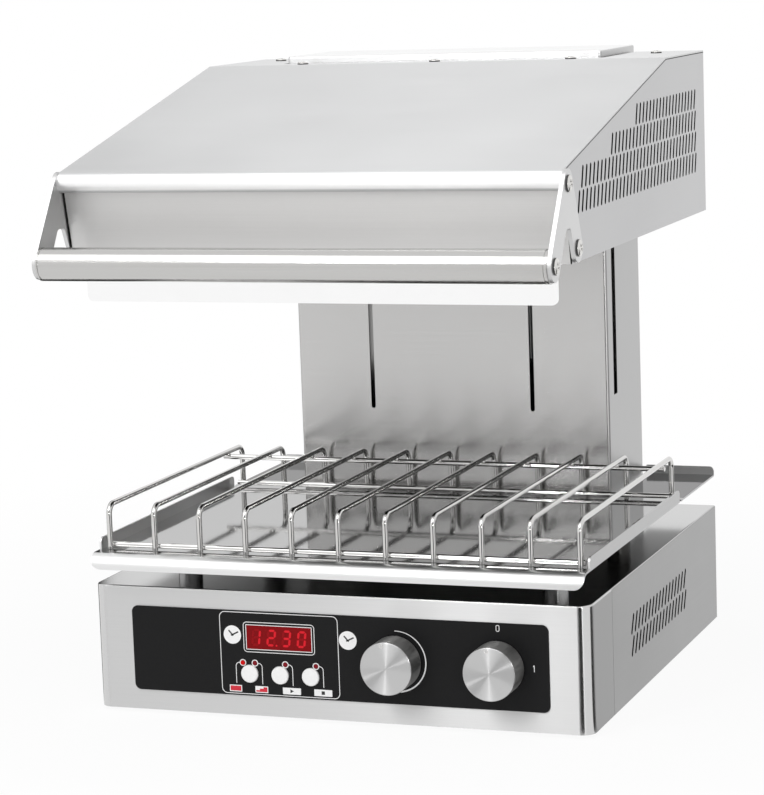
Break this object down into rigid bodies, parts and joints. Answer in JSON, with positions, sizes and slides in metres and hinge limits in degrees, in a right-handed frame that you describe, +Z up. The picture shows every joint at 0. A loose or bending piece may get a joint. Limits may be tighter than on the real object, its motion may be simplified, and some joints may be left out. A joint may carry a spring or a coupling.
{
  "type": "salamander grill",
  "caption": "Countertop electric salamander grill: steel base with timer and knobs, rear column, sliding heated head with handle, drip tray and wire rack.",
  "frame": {"origin": "on the table, under the middle of the whole grill's box", "axes": "+X to the right of someone facing the controls, +Y to the back, +Z up"},
  "size_m": [0.4048, 0.482, 0.4928],
  "materials": {
    "brushed_steel": "brushed stainless steel",
    "polished_steel": "polished stainless steel",
    "chromed_wire": "bright wire",
    "bright_fastener": "plated steel",
    "plated_steel": "zinc-plated steel",
    "ground_steel": "ground steel",
    "panel_film": "satin charcoal film",
    "red_lens": "dark red window",
    "red_light": "red light",
    "white_key": "white plastic",
    "turned_aluminium": "turned face",
    "cast_aluminium": "machined",
    "black_plastic": "moulded black",
    "grey_plastic": "moulded grey",
    "board_green": "circuit board",
    "core_iron": "black iron",
    "rope_steel": "wire rope",
    "bush_bronze": "bronze bush",
    "dark_glass": "dark glass ceramic",
    "ceramic_fibre": "pressed ceramic fibre",
    "heater_alloy": "oxidised resistance alloy",
    "foot_rubber": "black rubber"
  },
  "bodies": {
    "base": {"front_fascia": "brushed_steel", "base_cover": "brushed_steel", "base_plate": "plated_steel", "rubber_feet": "foot_rubber", "control_panel": "panel_film", "display_lens": "red_lens", "display_module": "black_plastic", "timer_board": "board_green", "board_standoffs": "plated_steel", "button_switches": "black_plastic", "indicator_lights": "red_light", "heat_regulator": "black_plastic", "power_switch": "black_plastic", "transformer": "core_iron", "contactor": "black_plastic", "terminal_block": "grey_plastic", "cable_gland": "black_plastic", "tray_posts": "brushed_steel", "column_cover": "brushed_steel", "column_back": "brushed_steel", "column_cap": "brushed_steel", "guide_rods": "ground_steel", "weight_rods": "ground_steel", "lower_rod_bracket": "plated_steel", "upper_rod_bracket": "plated_steel", "pulley_hangers": "plated_steel", "rope_wraps": "rope_steel", "back_screws": "bright_fastener"},
    "head": {"hood": "brushed_steel", "front_panel": "brushed_steel", "head_side_left": "brushed_steel", "head_side_right": "brushed_steel", "head_bottom": "plated_steel", "head_inner_wall": "plated_steel", "head_rear_panels": "brushed_steel", "carriage": "cast_aluminium", "carriage_bushes": "bush_bronze", "glass_pane": "dark_glass", "heater_dishes": "ceramic_fibre", "heater_ribbons": "heater_alloy", "insulation_blanket": "ceramic_fibre", "deflector": "polished_steel", "handle_bar": "brushed_steel", "handle_bracket_left": "brushed_steel", "handle_bracket_right": "brushed_steel", "handle_screws": "bright_fastener", "hood_screws": "bright_fastener", "lift_ropes": "rope_steel"},
    "counterweight": {"counterweight": "core_iron", "weight_ropes": "rope_steel"},
    "pulley": {"pulley_spindle": "cast_aluminium"},
    "heat_dial": {"heat_knob": "turned_aluminium", "heat_shaft": "ground_steel"},
    "power_dial": {"power_knob": "turned_aluminium", "power_shaft": "ground_steel"},
    "mode_key": {"mode_button": "white_key"},
    "start_key": {"start_button": "white_key"},
    "stop_key": {"stop_button": "white_key"},
    "tray": {"drip_tray": "polished_steel"},
    "rack": {"wire_rack": "chromed_wire"}
  },
  "joints": [
    {"name": "head_lift", "type": "slide", "parent": "base", "child": "head", "axis": [0, 0, 1], "range_m": [-0.14, 0], "deforming": ["lift_ropes"]},
    {"name": "weight_slide", "type": "slide", "parent": "base", "child": "counterweight", "axis": [0, 0, 1], "range_m": [0, 0.14], "deforming": ["weight_ropes"]},
    {"name": "pulley_turn", "type": "hinge", "parent": "base", "child": "pulley", "pos_m": [0, 0.18, 0.4737], "axis": [1, 0, 0], "range_deg": [0, 573]},
    {"name": "heat_turn", "type": "hinge", "parent": "base", "child": "heat_dial", "pos_m": [0.0485, -0.164, 0.0518], "axis": [0, 1, 0], "range_deg": [0, 270]},
    {"name": "power_turn", "type": "hinge", "parent": "base", "child": "power_dial", "pos_m": [0.129, -0.164, 0.0518], "axis": [0, 1, 0], "range_deg": [0, 90]},
    {"name": "mode_press", "type": "slide", "parent": "base", "child": "mode_key", "axis": [0, 1, 0], "range_m": [0, 0.001], "stiffness_N_per_m": 400, "springref_m": -0.002},
    {"name": "start_press", "type": "slide", "parent": "base", "child": "start_key", "axis": [0, 1, 0], "range_m": [0, 0.001], "stiffness_N_per_m": 400, "springref_m": -0.002},
    {"name": "stop_press", "type": "slide", "parent": "base", "child": "stop_key", "axis": [0, 1, 0], "range_m": [0, 0.001], "stiffness_N_per_m": 400, "springref_m": -0.002},
    {"name": "tray_slide", "type": "slide", "parent": "base", "child": "tray", "axis": [0, -1, 0], "range_m": [0, 0.25]},
    {"name": "rack_slide", "type": "slide", "parent": "tray", "child": "rack", "axis": [0, -1, 0], "range_m": [0, 0.12]}
  ],
  "couplings": [
    {"joint": "weight_slide", "follows": "head_lift", "ratio": -1},
    {"joint": "pulley_turn", "follows": "head_lift", "rad_per_m": -71.429}
  ]
}
